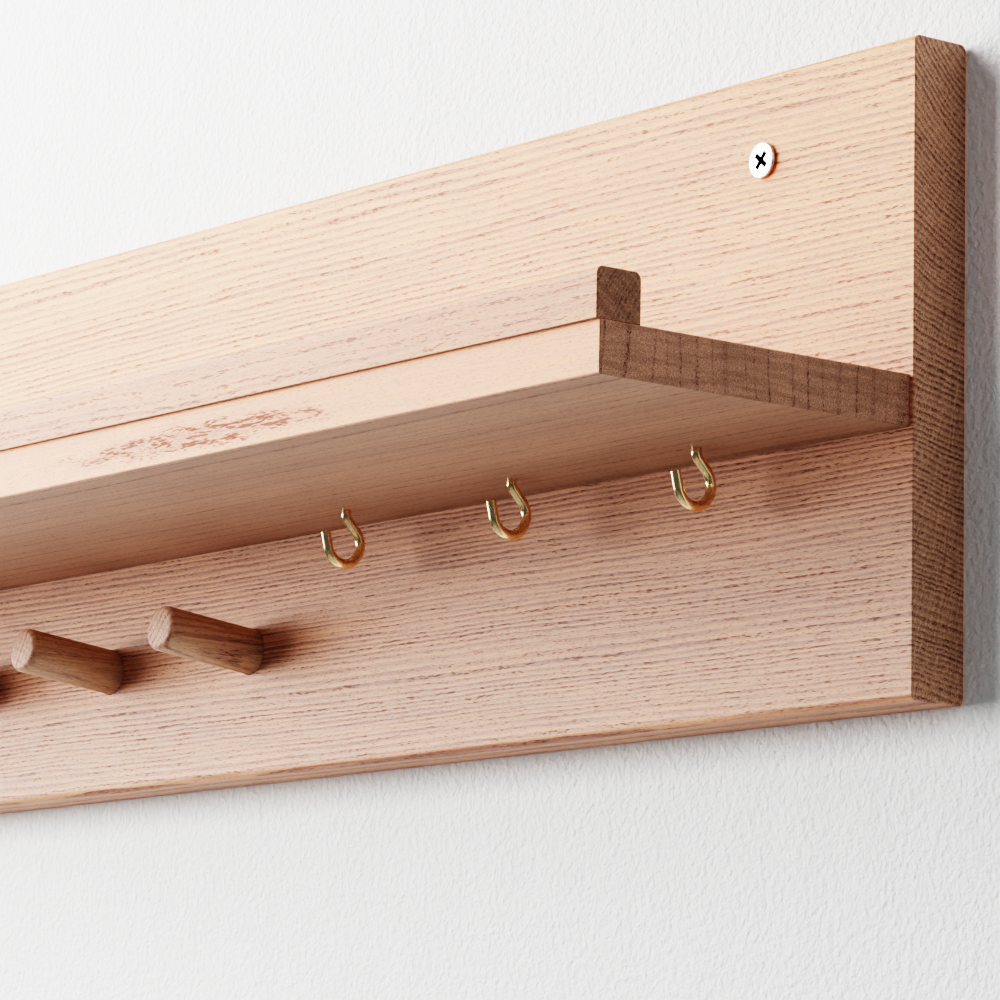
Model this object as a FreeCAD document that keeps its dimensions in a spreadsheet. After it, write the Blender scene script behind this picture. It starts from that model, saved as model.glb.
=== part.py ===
import FreeCAD, Part
import math
import os
import re

import Sketcher

# An oak wall rack: a backboard with a lipped shelf, tilted pegs and wire hooks.
# Millimetres, +Z up. The front faces -Y and the wall lies at Y = 0, against the
# backboard's back face, whose centre is the origin. +X is the right-hand end.

SIZES = {
    # backboard
    "board_length": 796,
    "board_height": 190,
    "board_thickness": 20,
    "board_edge_radius": 2,
    "board_end_break": 0.4,
    # shelf, out from the backboard's front face and up from its bottom edge
    "shelf_depth": 113,
    "shelf_thickness": 15,
    "shelf_rise": 77,
    "shelf_end_inset": 1.6,
    "shelf_edge_radius": 0.8,
    "shelf_end_break": 0.3,
    # lip glued along the shelf's front edge, a little proud of it
    "lip_width": 15.4,
    "lip_height": 14.4,
    "lip_proud": 1.2,
    "lip_top_radius": 2.2,
    "lip_foot_radius": 0.3,
    "lip_end_break": 0.3,
    # stations: hooks from the right, then pegs, evenly spaced between the margins
    "end_margin": 70,
    "station_count": 9,
    "hook_count": 3,
    # pegs, glued into tilted sockets
    "peg_diameter": 15,
    "peg_length": 37,
    "peg_rise": 41.4,
    "peg_tilt": 7,
    "peg_chamfer": 1.8,
    "peg_socket_depth": 14,
    "peg_clearance": 0.2,
    # wire hooks: a neck that bends back, a ring open at the front, and a flared tip
    "wire_diameter": 3.1,
    "hook_set_out": 21.8,
    "hook_neck_drop": 0.9,
    "hook_neck_radius": 3,
    "hook_ring_radius": 6.3,
    "hook_ring_drop": 10.8,
    "hook_ring_lead": 0.4,
    "hook_tip_angle": 14,
    "hook_tip_length": 5.3,
    "hook_screw_length": 11,
    "hook_point_length": 3,
    "hook_point_radius": 0.35,
    "hook_clearance": 0.1,
    # wall screws, whose flat heads stand a little proud
    "wall_screw_margin": 64,
    "wall_screw_drop": 26,
    "wall_screw_diameter": 5,
    "wall_screw_shank": 3.6,
    "wall_screw_length": 60,
    "wall_screw_thread": 36,
    "wall_screw_head": 10.6,
    "wall_screw_rim": 0.8,
    "wall_screw_proud": 1.2,
    # screws from behind that pull the shelf on, with heads sunk under the back face
    "shelf_screw_diameter": 4.5,
    "shelf_screw_shank": 3.2,
    "shelf_screw_length": 45,
    "shelf_screw_thread": 25,
    "shelf_screw_head": 8.8,
    "shelf_screw_rim": 0.5,
    "shelf_screw_sunk": 0.8,
    # what both kinds of screw share
    "screw_clearance": 0.25,
    "thread_clearance": 0.1,
    "seat_clearance": 0.1,
    "screw_point_length": 5,
    "screw_point_radius": 0.5,
    "recess_span": 6.2,
    "recess_width": 1.3,
    "recess_depth": 1.8,
    "recess_turn": 5,
    # dowels across the joint between backboard and shelf
    "dowel_diameter": 8,
    "dowel_length": 30,
    "dowel_in_board": 13,
    "dowel_chamfer": 1,
    "dowel_clearance": 0.1,
    "hole_end_room": 0.5,
    # how far a cutting tool reaches outside the face it starts from
    "tool_overrun": 5,
}

# Sizes that follow from the ones above.
DERIVED = {
    "station_pitch": "(board_length - 2 * end_margin) / (station_count - 1)",
    "shelf_length": "board_length - 2 * shelf_end_inset",
    "shelf_underside": "shelf_rise - board_height / 2",
    "shelf_middle": "shelf_underside + shelf_thickness / 2",
    "shelf_top": "shelf_underside + shelf_thickness",
    "shelf_front": "board_thickness + shelf_depth",
    "lip_front": "shelf_front + lip_proud",
    "lip_back": "lip_front - lip_width",
    "peg_height": "peg_rise - board_height / 2",
    "wall_screw_side": "board_length / 2 - wall_screw_margin",
    "wall_screw_height": "board_height / 2 - wall_screw_drop",
    "shelf_screw_in_shelf": "shelf_screw_length + shelf_screw_sunk - board_thickness",
    "hook_line": "board_thickness + hook_set_out",
}

WALL_SCREWS = {"wall_screw_right": "wall_screw_side", "wall_screw_left": "0 - wall_screw_side"}

# Places along the shelf joint, in station pitches from the middle. They fall halfway
# between stations, so no screw or dowel meets a hook's thread.
SHELF_SCREW_PLACES = (-3.5, -1.5, 1.5, 3.5)
DOWEL_PLACES = (-4.5, -2.5, -0.5, 0.5, 2.5, 4.5)

# The hooks are screwed in by hand: how far each stands to the right of its station, and
# behind the line of the hooks, in mm. The list starts again after the third hook.
HOOK_SCATTER = ((0.2, 2.1), (1.4, -1.2), (-0.9, -0.4))

HOOK_STATIONS = range(1, SIZES["hook_count"] + 1)
PEG_STATIONS = range(SIZES["hook_count"] + 1, SIZES["station_count"] + 1)

doc = FreeCAD.newDocument("wall_rack")
sheet = doc.addObject("Spreadsheet::Sheet", "Sizes")


# ---- sizes and formulas ----


def fill_sheet():
    """Writes each driving size, then each derived one, in a row of its own with an alias."""
    rows = {name: str(value) for name, value in SIZES.items()}
    rows.update({name: "=" + formula for name, formula in DERIVED.items()})
    for number, (name, content) in enumerate(rows.items(), 1):
        sheet.set(f"A{number}", name)
        sheet.set(f"B{number}", content)
        sheet.setAlias(f"B{number}", name)
    doc.recompute()


def bound(formula):
    """The formula with each size's name written as a reference to its cell."""
    return re.sub(r"[a-z_]{3,}", lambda word: "Sizes." + word.group(), formula)


def value_of(formula):
    """The formula's present value, which places geometry before it is constrained."""
    return float(sheet.evalExpression(bound(formula)))


def bind(target, formulas):
    """Binds each named property of target to its formula."""
    for name, formula in formulas.items():
        target.setExpression(name, bound(formula))


def station(number):
    """Formula for the X of a station, counted from 1 at the right-hand end."""
    return f"board_length / 2 - end_margin - {number - 1} * station_pitch"


def hook_place(number, place_number):
    """Formulas for the X and Y of a hook's shank."""
    aside, behind = HOOK_SCATTER[(number - 1) % len(HOOK_SCATTER)]
    return f"{station(place_number)} + {aside}", f"{behind} - hook_line"


def joint_place(pitches):
    """Formula for the X of a place on the shelf joint."""
    return f"{pitches} * station_pitch"


# ---- sketches and features ----


def new_body(label):
    body = doc.addObject("PartDesign::Body", label)
    body.Label = label
    return body


def new_sketch(body, name, plane_role="YZ_Plane", offset=None):
    """A sketch on one of the body's own origin planes, moved or turned by the formulas in offset."""
    plane = next(f for f in body.Origin.OriginFeatures if f.Role == plane_role)
    sketch = body.newObject("Sketcher::SketchObject", name)
    sketch.AttachmentSupport = [(plane, "")]
    sketch.MapMode = "FlatFace"
    for part, formula in (offset or {}).items():
        bind(sketch, {"AttachmentOffset." + part: formula})
    return sketch


def add_datum(sketch, formula, *kind_and_geometry):
    """A dimension bound to formula."""
    number = sketch.addConstraint(Sketcher.Constraint(*kind_and_geometry, value_of(formula)))
    bind(sketch, {f"Constraints[{number}]": formula})


def add_angle(sketch, formula, *kind_and_geometry):
    """An angle in degrees, bound to formula."""
    angle = math.radians(value_of(formula))
    number = sketch.addConstraint(Sketcher.Constraint(*kind_and_geometry, angle))
    bind(sketch, {f"Constraints[{number}]": formula})


def draw_outline(sketch, corners):
    """A closed straight-sided outline through corners, each a pair of formulas (across, up)."""
    points = [FreeCAD.Vector(value_of(across), value_of(up), 0) for across, up in corners]
    count = len(points)
    for i in range(count):
        sketch.addGeometry(Part.LineSegment(points[i], points[(i + 1) % count]))
    for i in range(count):
        sketch.addConstraint(Sketcher.Constraint("Coincident", i, 2, (i + 1) % count, 1))
    for i, (across, up) in enumerate(corners):
        add_datum(sketch, across, "DistanceX", -1, 1, i, 1)
        add_datum(sketch, up, "DistanceY", -1, 1, i, 1)


def rectangle(low_across, low_up, high_across, high_up):
    return [
        (low_across, low_up),
        (high_across, low_up),
        (high_across, high_up),
        (low_across, high_up),
    ]


def add_bar(body, name, corners, length):
    """A bar along X, centred on X = 0, with its section through corners (y, z)."""
    section = new_sketch(body, name + "_section")
    draw_outline(section, corners)
    bar = body.newObject("PartDesign::Pad", name)
    bar.Profile = section
    bar.SideType = "Symmetric"
    bind(bar, {"Length": length})
    doc.recompute()
    return bar


def add_turned(body, name, outline):
    """A turned solid about the body's own Y axis, with an outline of (place along Y, radius)."""
    half_section = new_sketch(body, name + "_half_section")
    draw_outline(half_section, outline)
    turned = body.newObject("PartDesign::Revolution", name)
    turned.Profile = half_section
    turned.ReferenceAxis = (half_section, ["H_Axis"])
    turned.Angle = 360
    doc.recompute()
    return turned


def check_smaller(body, before, name):
    """A cut that points away from the solid fails silently, so the volume is compared."""
    if body.Shape.Volume > before - 1e-3:
        raise RuntimeError(f"{name} removed nothing from {body.Label}")


def cut_bore(body, name, place, outline):
    """A turned hole along the axis that place sets, with an outline of (depth, radius)."""
    before = body.Shape.Volume
    half_section = new_sketch(body, name + "_half_section", offset=place)
    draw_outline(half_section, outline)
    bore = body.newObject("PartDesign::Groove", name)
    bore.Profile = half_section
    bore.ReferenceAxis = (half_section, ["H_Axis"])
    bore.Angle = 360
    doc.recompute()
    check_smaller(body, before, name)


def dress(body, kind, name, edges, sizes):
    """A Fillet or Chamfer on the named edges of the body's last feature."""
    base = body.Tip
    dressed = body.newObject("PartDesign::" + kind, name)
    dressed.Base = (base, edges)
    bind(dressed, sizes)
    doc.recompute()


def edges_where(shape, wanted):
    """Names of the shape's edges for which wanted(edge) holds."""
    return [f"Edge{number}" for number, edge in enumerate(shape.Edges, 1) if wanted(edge)]


def runs_along_x(edge):
    return edge.BoundBox.YLength < 1e-6 and edge.BoundBox.ZLength < 1e-6


def lies_at_an_end(edge):
    return edge.BoundBox.XLength < 1e-6


def turn_to(body, axis, formula):
    """Turns a body about axis by the formula, in degrees."""
    body.Placement = FreeCAD.Placement(FreeCAD.Vector(), FreeCAD.Rotation(axis, value_of(formula)))
    bind(body, {"Placement.Rotation.Angle": formula})


def move_to(body, across, along, up):
    bind(body, {"Placement.Base.x": across, "Placement.Base.y": along, "Placement.Base.z": up})


# ---- holes ----


def plain_hole(radius, depth):
    """Outline of a straight hole, with its tool starting outside the face."""
    return rectangle("0 - tool_overrun", "0", depth, radius)


def through_hole(kind, cone_start):
    """Outline of a countersunk hole right through the backboard for one kind of screw.

    cone_start is how deep the head's rim ends and its cone begins.
    """
    head_radius = f"({kind}_head / 2 + seat_clearance)"
    bore_radius = f"({kind}_diameter / 2 + screw_clearance)"
    far_end = "board_thickness + tool_overrun"
    return [
        ("0 - tool_overrun", "0"),
        ("0 - tool_overrun", head_radius),
        (cone_start, head_radius),
        (f"{cone_start} + {head_radius} - {bore_radius}", bore_radius),
        (far_end, bore_radius),
        (far_end, "0"),
    ]


# ---- wooden pieces ----


def make_backboard():
    body = new_body("backboard")
    back, front = "0", "0 - board_thickness"
    section = rectangle(front, "0 - board_height / 2", back, "board_height / 2")
    bar = add_bar(body, "board_blank", section, "board_length")
    rounding = {"Radius": "board_edge_radius"}
    dress(body, "Fillet", "board_rounding", edges_where(bar.Shape, runs_along_x), rounding)
    end_break = {"Size": "board_end_break"}
    dress(body, "Chamfer", "board_end_break_cut", edges_where(body.Shape, lies_at_an_end), end_break)

    wall_screw_hole = through_hole("wall_screw", "(wall_screw_rim - wall_screw_proud)")
    for name, across in WALL_SCREWS.items():
        place = {"Base.x": front, "Base.y": "wall_screw_height", "Base.z": across}
        cut_bore(body, "hole_for_" + name, place, wall_screw_hole)

    shelf_screw_hole = through_hole("shelf_screw", "(shelf_screw_rim + shelf_screw_sunk)")
    for number, pitches in enumerate(SHELF_SCREW_PLACES, 1):
        place = {"Base.x": back, "Base.y": "shelf_middle", "Base.z": joint_place(pitches)}
        place["Rotation.Angle"] = "180"
        cut_bore(body, f"hole_for_shelf_screw_{number}", place, shelf_screw_hole)

    dowel_hole = plain_hole("dowel_diameter / 2 + dowel_clearance", "dowel_in_board + hole_end_room")
    for number, pitches in enumerate(DOWEL_PLACES, 1):
        place = {"Base.x": front, "Base.y": "shelf_middle", "Base.z": joint_place(pitches)}
        cut_bore(body, f"hole_for_dowel_{number}", place, dowel_hole)

    socket = plain_hole("peg_diameter / 2 + peg_clearance", "peg_socket_depth + hole_end_room")
    for number, place_number in enumerate(PEG_STATIONS, 1):
        place = {"Base.x": front, "Base.y": "peg_height", "Base.z": station(place_number)}
        place["Rotation.Angle"] = "0 - peg_tilt"
        cut_bore(body, f"socket_for_peg_{number}", place, socket)


def make_shelf():
    body = new_body("shelf")
    front, back = "0 - shelf_front", "0 - board_thickness"
    section = rectangle(front, "shelf_underside", back, "shelf_top")
    bar = add_bar(body, "shelf_blank", section, "shelf_length")
    middle = (bar.Shape.BoundBox.ZMin + bar.Shape.BoundBox.ZMax) / 2
    front_y = bar.Shape.BoundBox.YMin

    def front_bottom(edge):
        at_front = abs(edge.CenterOfMass.y - front_y) < 1e-6
        return runs_along_x(edge) and at_front and edge.CenterOfMass.z < middle

    rounding = {"Radius": "shelf_edge_radius"}
    dress(body, "Fillet", "shelf_rounding", edges_where(bar.Shape, front_bottom), rounding)

    def free_end(edge):
        return lies_at_an_end(edge) and edge.CenterOfMass.y < -value_of("board_thickness") - 1e-6

    end_break = {"Size": "shelf_end_break"}
    dress(body, "Chamfer", "shelf_end_break_cut", edges_where(body.Shape, free_end), end_break)

    rear = {"Base.x": back, "Base.y": "shelf_middle", "Rotation.Angle": "180"}
    thread_hole = plain_hole(
        "shelf_screw_diameter / 2 + thread_clearance", "shelf_screw_in_shelf + hole_end_room"
    )
    for number, pitches in enumerate(SHELF_SCREW_PLACES, 1):
        place = {**rear, "Base.z": joint_place(pitches)}
        cut_bore(body, f"hole_for_shelf_screw_{number}", place, thread_hole)

    dowel_hole = plain_hole(
        "dowel_diameter / 2 + dowel_clearance", "dowel_length - dowel_in_board + hole_end_room"
    )
    for number, pitches in enumerate(DOWEL_PLACES, 1):
        place = {**rear, "Base.z": joint_place(pitches)}
        cut_bore(body, f"hole_for_dowel_{number}", place, dowel_hole)

    hook_hole = plain_hole("wire_diameter / 2 + hook_clearance", "hook_screw_length + hole_end_room")
    for number, place_number in enumerate(HOOK_STATIONS, 1):
        along, across = hook_place(number, place_number)
        place = {"Base.x": across, "Base.y": "shelf_underside", "Base.z": along}
        place["Rotation.Angle"] = "90"
        cut_bore(body, f"hole_for_hook_{number}", place, hook_hole)


def make_lip():
    body = new_body("lip")
    front, back = "0 - lip_front", "0 - lip_back"
    section = rectangle(front, "shelf_top", back, "shelf_top + lip_height")
    bar = add_bar(body, "lip_blank", section, "shelf_length")
    box = bar.Shape.BoundBox
    middle = (box.ZMin + box.ZMax) / 2

    def top(edge):
        return runs_along_x(edge) and edge.CenterOfMass.z > middle

    dress(body, "Fillet", "lip_top_rounding", edges_where(bar.Shape, top), {"Radius": "lip_top_radius"})

    def front_foot(edge):
        at_front = abs(edge.CenterOfMass.y - box.YMin) < 1e-6
        return runs_along_x(edge) and at_front and abs(edge.CenterOfMass.z - box.ZMin) < 1e-6

    foot = {"Radius": "lip_foot_radius"}
    dress(body, "Fillet", "lip_foot_rounding", edges_where(body.Shape, front_foot), foot)

    def above_the_joint(edge):
        return lies_at_an_end(edge) and edge.CenterOfMass.z > box.ZMin + 1e-6

    end_break = {"Size": "lip_end_break"}
    dress(body, "Chamfer", "lip_end_break_cut", edges_where(body.Shape, above_the_joint), end_break)


def make_peg(number, place_number):
    """A peg turned about its own axis, which runs into its socket along +Y before it is tilted."""
    body = new_body(f"peg_{number}")
    radius, tip = "peg_diameter / 2", "0 - peg_length"
    outline = [
        (tip, "0"),
        (tip, f"{radius} - peg_chamfer"),
        (f"{tip} + peg_chamfer", radius),
        ("peg_socket_depth", radius),
        ("peg_socket_depth", "0"),
    ]
    add_turned(body, f"peg_{number}_turning", outline)
    turn_to(body, FreeCAD.Vector(-1, 0, 0), "peg_tilt")
    move_to(body, station(place_number), "0 - board_thickness", "peg_height")


def make_dowel(number, pitches):
    """A dowel with chamfered ends, from dowel_in_board behind the joint forward into the shelf."""
    body = new_body(f"dowel_{number}")
    radius, rear, fore = "dowel_diameter / 2", "dowel_in_board", "dowel_in_board - dowel_length"
    outline = [
        (fore, "0"),
        (fore, f"{radius} - dowel_chamfer"),
        (f"{fore} + dowel_chamfer", radius),
        (f"{rear} - dowel_chamfer", radius),
        (rear, f"{radius} - dowel_chamfer"),
        (rear, "0"),
    ]
    add_turned(body, f"dowel_{number}_turning", outline)
    move_to(body, joint_place(pitches), "0 - board_thickness", "shelf_middle")


# ---- metal pieces ----


def screw_outline(kind):
    """Outline of a countersunk screw of one kind, from its head's flat face at 0 to its point."""
    head_radius, rim = f"{kind}_head / 2", f"{kind}_rim"
    shank_radius, thread_radius = f"{kind}_shank / 2", f"{kind}_diameter / 2"
    length, thread_start = f"{kind}_length", f"{kind}_length - {kind}_thread"
    return [
        ("0", "0"),
        ("0", head_radius),
        (rim, head_radius),
        (f"{rim} + {head_radius} - {shank_radius}", shank_radius),
        (thread_start, shank_radius),
        (thread_start, thread_radius),
        (f"{length} - screw_point_length", thread_radius),
        (length, "screw_point_radius"),
        (length, "0"),
    ]


def cross_outline():
    """Outline of the cross recess, about the screw's axis."""
    near, far = "recess_width / 2", "recess_span / 2"
    quarter = [(far, near), (near, near), (near, far)]
    corners = []
    for across_sign, up_sign, order in ((1, 1, 1), (-1, 1, -1), (-1, -1, 1), (1, -1, -1)):
        for across, up in quarter[::order]:
            corners.append((f"{across_sign} * {across}", f"{up_sign} * {up}"))
    return corners


def make_screw(name, outline, turn):
    """A countersunk screw along its own +Y, with a cross recess in its head."""
    body = new_body(name)
    add_turned(body, name + "_turning", outline)
    before = body.Shape.Volume
    cross = new_sketch(body, name + "_cross", "XZ_Plane", {"Rotation.Angle": turn})
    draw_outline(cross, cross_outline())
    recess = body.newObject("PartDesign::Pocket", name + "_recess")
    recess.Profile = cross
    bind(recess, {"Length": "recess_depth"})
    doc.recompute()
    check_smaller(body, before, name + "_recess")
    return body


def make_wall_screws():
    for name, across in WALL_SCREWS.items():
        body = make_screw(name, screw_outline("wall_screw"), "45 + recess_turn")
        move_to(body, across, "0 - board_thickness - wall_screw_proud", "wall_screw_height")


def make_shelf_screws():
    for number, pitches in enumerate(SHELF_SCREW_PLACES, 1):
        body = make_screw(f"shelf_screw_{number}", screw_outline("shelf_screw"), "45")
        turn_to(body, FreeCAD.Vector(0, 0, 1), "180")
        move_to(body, joint_place(pitches), "0 - shelf_screw_sunk", "shelf_middle")


def swing_of_neck():
    """Angle from the vertical, in radians, of the straight run from the neck bend to the ring."""
    lead = value_of("hook_ring_lead + hook_neck_radius")
    drop = value_of("hook_ring_drop - hook_neck_drop")
    reach = value_of("hook_ring_radius + hook_neck_radius")
    return math.asin(reach / math.hypot(lead, drop)) - math.atan2(lead, drop)


def draw_hook_path(sketch):
    """The wire's centre line below the shelf's underside, which is the sketch's origin height."""
    swing = swing_of_neck()
    flare = math.radians(value_of("hook_tip_angle"))
    neck_radius, ring_radius = value_of("hook_neck_radius"), value_of("hook_ring_radius")
    neck_centre = FreeCAD.Vector(neck_radius, -value_of("hook_neck_drop"), 0)
    ring_centre = FreeCAD.Vector(-value_of("hook_ring_lead"), -value_of("hook_ring_drop"), 0)
    axis = FreeCAD.Vector(0, 0, 1)
    neck_circle = Part.Circle(neck_centre, axis, neck_radius)
    ring_circle = Part.Circle(ring_centre, axis, ring_radius)

    neck_start = neck_circle.value(math.pi)
    neck_end = neck_circle.value(math.pi + swing)
    ring_start = ring_circle.value(swing)
    ring_end = ring_circle.value(math.pi + flare)
    tip = ring_end + FreeCAD.Vector(-math.sin(flare), math.cos(flare), 0) * value_of("hook_tip_length")

    shank = sketch.addGeometry(Part.LineSegment(FreeCAD.Vector(0, 0, 0), neck_start))
    neck = sketch.addGeometry(Part.ArcOfCircle(neck_circle, math.pi, math.pi + swing))
    run = sketch.addGeometry(Part.LineSegment(neck_end, ring_start))
    ring = sketch.addGeometry(Part.ArcOfCircle(ring_circle, math.pi + flare, 2 * math.pi + swing))
    point = sketch.addGeometry(Part.LineSegment(ring_end, tip))

    for link in (
        ("Coincident", shank, 1, -1, 1),
        ("PointOnObject", shank, 2, -2),
        ("Tangent", shank, 2, neck, 1),
        ("Tangent", neck, 2, run, 1),
        ("Tangent", run, 2, ring, 2),
        ("Tangent", ring, 1, point, 1),
    ):
        sketch.addConstraint(Sketcher.Constraint(*link))
    add_datum(sketch, "0 - hook_neck_drop", "DistanceY", -1, 1, shank, 2)
    add_datum(sketch, "hook_neck_radius", "Radius", neck)
    add_datum(sketch, "hook_ring_radius", "Radius", ring)
    add_datum(sketch, "0 - hook_ring_lead", "DistanceX", -1, 1, ring, 3)
    add_datum(sketch, "0 - hook_ring_drop", "DistanceY", -1, 1, ring, 3)
    add_datum(sketch, "hook_tip_length", "Distance", point)
    add_angle(sketch, "90 + hook_tip_angle", "Angle", point)


def make_hook(number, place_number):
    """A bent wire whose threaded end goes up into the shelf."""
    body = new_body(f"hook_{number}")
    path = new_sketch(body, f"hook_{number}_path")
    draw_hook_path(path)
    wire = new_sketch(body, f"hook_{number}_wire", "XY_Plane")
    circle = Part.Circle(FreeCAD.Vector(), FreeCAD.Vector(0, 0, 1), value_of("wire_diameter / 2"))
    wire.addGeometry(circle)
    wire.addConstraint(Sketcher.Constraint("Coincident", 0, 3, -1, 1))
    add_datum(wire, "wire_diameter / 2", "Radius", 0)
    doc.recompute()
    bend = body.newObject("PartDesign::AdditivePipe", f"hook_{number}_bend")
    bend.Profile = wire
    bend.Spine = (path, [f"Edge{i}" for i in range(1, 6)])
    doc.recompute()

    radius = "wire_diameter / 2"
    outline = [
        ("0", "0"),
        (radius, "0"),
        (radius, "hook_screw_length - hook_point_length"),
        ("hook_point_radius", "hook_screw_length"),
        ("0", "hook_screw_length"),
    ]
    half_section = new_sketch(body, f"hook_{number}_thread_half_section")
    draw_outline(half_section, outline)
    thread = body.newObject("PartDesign::Revolution", f"hook_{number}_thread")
    thread.Profile = half_section
    thread.ReferenceAxis = (half_section, ["V_Axis"])
    thread.Angle = 360
    doc.recompute()
    move_to(body, *hook_place(number, place_number), "shelf_underside")


# ---- the whole rack ----


def check_document():
    """Raises if any object failed or any sub-part's shape is empty or broken."""
    for item in doc.Objects:
        if {"Invalid", "Error"} & set(item.State):
            raise RuntimeError(f"{item.Label} did not recompute: {item.State}")
    for body in doc.findObjects("PartDesign::Body"):
        shape = body.Shape
        if shape.isNull() or not shape.isValid() or len(shape.Solids) != 1:
            raise RuntimeError(f"{body.Label} is not one valid solid")


def write_parts():
    os.makedirs("parts", exist_ok=True)
    for body in doc.findObjects("PartDesign::Body"):
        body.Shape.exportStep(f"parts/{body.Label}.step")
        box = body.Shape.BoundBox
        print(f"{body.Label:18s} {box.XMin:8.2f} {box.XMax:8.2f} {box.YMin:8.2f} {box.YMax:8.2f}", end="")
        print(f" {box.ZMin:8.2f} {box.ZMax:8.2f}  {body.Shape.Volume:12.1f} mm3")


fill_sheet()
make_backboard()
make_shelf()
make_lip()
for number, place_number in enumerate(PEG_STATIONS, 1):
    make_peg(number, place_number)
for number, place_number in enumerate(HOOK_STATIONS, 1):
    make_hook(number, place_number)
make_wall_screws()
make_shelf_screws()
for number, pitches in enumerate(DOWEL_PLACES, 1):
    make_dowel(number, pitches)
doc.recompute()
check_document()
write_parts()
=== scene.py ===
"""Oak wall rack: the finish of its boards, its pegs, wire hooks and screws, and the room it hangs in."""

import math

import bmesh
import bpy
from mathutils import Matrix, Vector


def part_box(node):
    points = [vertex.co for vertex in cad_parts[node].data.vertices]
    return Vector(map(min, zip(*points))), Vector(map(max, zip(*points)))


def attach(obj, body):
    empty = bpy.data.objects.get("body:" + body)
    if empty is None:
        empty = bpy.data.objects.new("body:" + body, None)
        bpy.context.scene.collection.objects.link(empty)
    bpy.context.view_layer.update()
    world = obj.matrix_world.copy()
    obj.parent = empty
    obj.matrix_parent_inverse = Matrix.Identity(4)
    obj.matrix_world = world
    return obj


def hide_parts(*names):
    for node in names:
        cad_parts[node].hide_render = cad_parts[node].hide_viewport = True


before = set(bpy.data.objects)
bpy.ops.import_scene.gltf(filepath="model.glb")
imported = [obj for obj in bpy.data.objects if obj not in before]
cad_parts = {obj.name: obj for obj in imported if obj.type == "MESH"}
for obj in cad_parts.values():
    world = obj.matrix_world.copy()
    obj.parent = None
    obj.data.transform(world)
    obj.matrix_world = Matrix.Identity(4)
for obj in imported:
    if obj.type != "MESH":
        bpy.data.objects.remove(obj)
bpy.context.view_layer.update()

bl_info = {
    "name": "Oak wall rack",
    "version": (1, 0, 0),
    "blender": (4, 5, 0),
    "location": "View3D > Sidebar > Rack",
    "description": "Finishes the oak boards and makes the pegs, key hooks, screws and the room",
    "category": "Object",
}

MM = 0.001
PEGS = ("peg_1", "peg_2", "peg_3", "peg_4", "peg_5", "peg_6")
HOOKS = ("hook_1", "hook_2", "hook_3")
DOWELS = tuple(f"dowel_{n}" for n in range(1, 7))

# For each screw the name of its finished piece and the degrees that its cross recess is turned by.
WALL_SCREWS = {
    "wall_screw_right": ("fixing_screw_right", 50.0),
    "wall_screw_left": ("fixing_screw_left", 17.0),
}
SHELF_SCREWS = {f"shelf_screw_{n}": (f"joint_screw_{n}", 31.0 * n) for n in range(1, 5)}
WALL_SCREW_SIZES = {
    "head": 5.3 * MM, "shank": 1.8 * MM, "crest": 2.5 * MM, "length": 60.0 * MM, "point": 5.0 * MM,
    "thread_from": 24.0 * MM,
}
SHELF_SCREW_SIZES = {
    "head": 4.4 * MM, "shank": 1.6 * MM, "crest": 2.25 * MM, "length": 45.0 * MM, "point": 4.0 * MM,
    "thread_from": 20.0 * MM,
}

# Degrees of the key hook's wire: its bend below the shelf, its ring, and the way its tip looks.
NECK_BEND = 43.9
RING_BEND = -209.9
TIP_WAY = 194.0


# ---------------------------------------------------------------- settings


def size(name, description, default, low=0.0, high=1.0):
    """A length in metres, shown in the scene's own unit."""
    return bpy.props.FloatProperty(
        name=name, description=description, default=default, min=low, max=high,
        unit="LENGTH", precision=5,
    )


def share(name, description, default, high=1.0):
    """A plain number from nought up."""
    return bpy.props.FloatProperty(name=name, description=description, default=default, min=0.0, max=high)


def colour(name, description, default):
    """A colour as the renderer counts it, linear red, green and blue."""
    return bpy.props.FloatVectorProperty(
        name=name, description=description, default=default, size=3, min=0.0, max=1.0, subtype="COLOR",
    )


class OakSettings(bpy.types.PropertyGroup):
    """Colours and ring spacings of the oak."""

    pale: colour("Late wood", "Dense pale wood between the pore rows", (0.740, 0.380, 0.215))
    band: colour("Early wood", "Pinkish brown of the open early wood", (0.430, 0.185, 0.118))
    pore: colour("Pore", "Inside of an open pore", (0.190, 0.078, 0.045))
    ray: colour("Ray", "Smooth ray fleck", (0.640, 0.350, 0.240))
    board_rings: size("Board rings", "Growth ring spacing in the backboard", 0.0018, high=0.02)
    shelf_rings: size("Shelf rings", "Growth ring spacing in the shelf", 0.0059, high=0.02)
    lip_rings: size("Lip rings", "Growth ring spacing in the lip", 0.0012, high=0.02)
    peg_rings: size("Peg rings", "Growth ring spacing in the pegs", 0.0021, high=0.02)


class PegSettings(bpy.types.PropertyGroup):
    """Sizes of a coat peg."""

    radius: size("Radius", "Half the peg's diameter", 0.0075, high=0.05)
    reach: size("Reach", "Length in front of the backboard, along the peg", 0.037, high=0.2)
    tenon: size("Tenon", "Length inside the backboard", 0.014, high=0.05)
    chamfer: size("Chamfer", "Width of the rounded chamfer at the tip", 0.0018, high=0.005)
    height: size("Height", "Height of the peg's foot on the backboard", -0.0536, low=-1.0)
    tilt: bpy.props.FloatProperty(
        name="Tilt", description="How far the peg leans up", default=math.radians(7), subtype="ANGLE",
    )


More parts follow.
